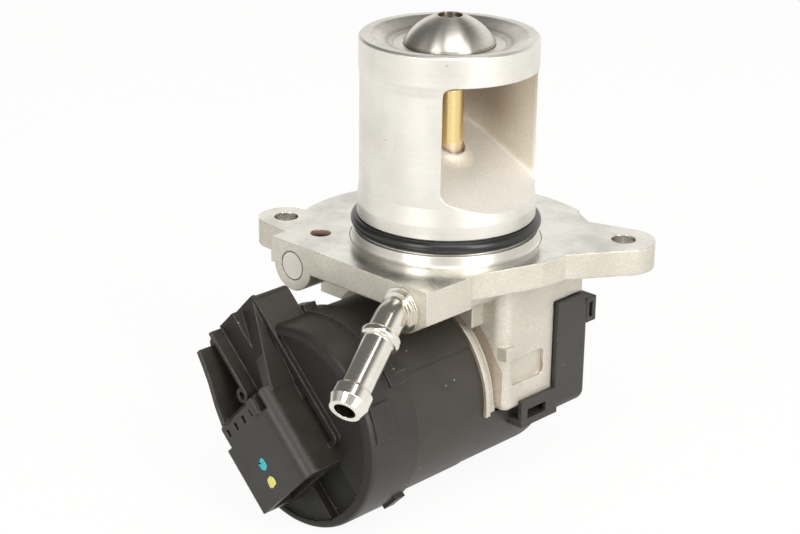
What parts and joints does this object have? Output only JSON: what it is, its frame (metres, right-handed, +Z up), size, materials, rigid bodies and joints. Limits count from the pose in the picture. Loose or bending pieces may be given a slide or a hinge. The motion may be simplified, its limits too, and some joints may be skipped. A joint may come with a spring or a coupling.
{
  "type": "egr valve",
  "caption": "Electric exhaust gas valve: poppet in a ported spigot on a casting with motor, gear cover, connector and coolant nozzle.",
  "frame": {"origin": "where the spigot's axis meets the top face of the mounting flange", "axes": "+Z up the spigot and the valve stem, -Y from the stem towards the motor's connector end, +X towards the side port"},
  "size_m": [0.0971, 0.1145, 0.1358],
  "materials": {
    "cast_aluminium": "shot blast casting with machined faces",
    "stainless_steel": "satin turned",
    "hardened_steel": "ground",
    "bronze": "turned",
    "plated_steel": "bright plated",
    "black_rubber": "moulded",
    "dark_plastic": "fine moulded grain",
    "gear_plastic": "moulded",
    "coated_steel": "matt coated",
    "laminated_steel": "oiled",
    "ferrite": "matt",
    "copper": "bare",
    "carbon": "matt",
    "circuit_board": "coated"
  },
  "bodies": {
    "housing": {"valve_housing": "cast_aluminium", "spigot": "cast_aluminium", "port_seal": "black_rubber", "seat_ring": "stainless_steel", "stem_guide": "bronze", "stem_seal": "black_rubber", "output_bush": "bronze", "gear_pin": "hardened_steel", "bearing_plate": "cast_aluminium", "plate_screws": "hardened_steel", "magnets": "ferrite", "flux_ring": "laminated_steel", "motor_can": "coated_steel", "motor_seal": "black_rubber", "motor_screws": "hardened_steel", "rear_bearing": "bronze", "front_bearing": "bronze", "brush_card": "dark_plastic", "brushes": "carbon", "end_cap": "dark_plastic", "connector_terminals": "copper", "control_board": "circuit_board", "gear_cover": "dark_plastic", "cover_gasket": "black_rubber", "coolant_plug": "stainless_steel", "coolant_nozzle": "plated_steel"},
    "valve": {"poppet": "stainless_steel", "valve_stem": "stainless_steel", "stem_yoke": "hardened_steel", "yoke_pin": "hardened_steel", "spring_seat": "hardened_steel", "return_spring": "hardened_steel"},
    "output": {"crank_disc": "hardened_steel", "crank_roller": "hardened_steel", "output_shaft": "hardened_steel", "sector_gear": "gear_plastic"},
    "intermediate": {"intermediate_gear": "gear_plastic"},
    "rotor": {"motor_shaft": "hardened_steel", "motor_pinion": "bronze", "rotor_core": "laminated_steel", "rotor_winding": "copper", "commutator": "copper", "sensor_magnet": "ferrite"}
  },
  "joints": [
    {"name": "output_turn", "type": "hinge", "parent": "housing", "child": "output", "pos_m": [-0.0056, 0.014, -0.022], "axis": [0, -1, 0], "range_deg": [0, 60], "stiffness_Nm_per_rad": 0.05, "springref_deg": -34.38},
    {"name": "valve_lift", "type": "slide", "parent": "housing", "child": "valve", "axis": [0, 0, 1], "range_m": [0, 0.006], "deforming": ["return_spring"]},
    {"name": "intermediate_turn", "type": "hinge", "parent": "housing", "child": "intermediate", "pos_m": [0.01108, 0.022, -0.03272], "axis": [0, -1, 0], "range_deg": [-204, 0]},
    {"name": "motor_turn", "type": "hinge", "parent": "housing", "child": "rotor", "pos_m": [-0.0024, -0.03, -0.0428], "axis": [0, -1, 0], "range_deg": [0, 775.2]}
  ],
  "couplings": [
    {"joint": "valve_lift", "follows": "output_turn", "m_per_rad": 0.0057296},
    {"joint": "intermediate_turn", "follows": "output_turn", "ratio": -3.4},
    {"joint": "motor_turn", "follows": "output_turn", "ratio": 12.92}
  ]
}
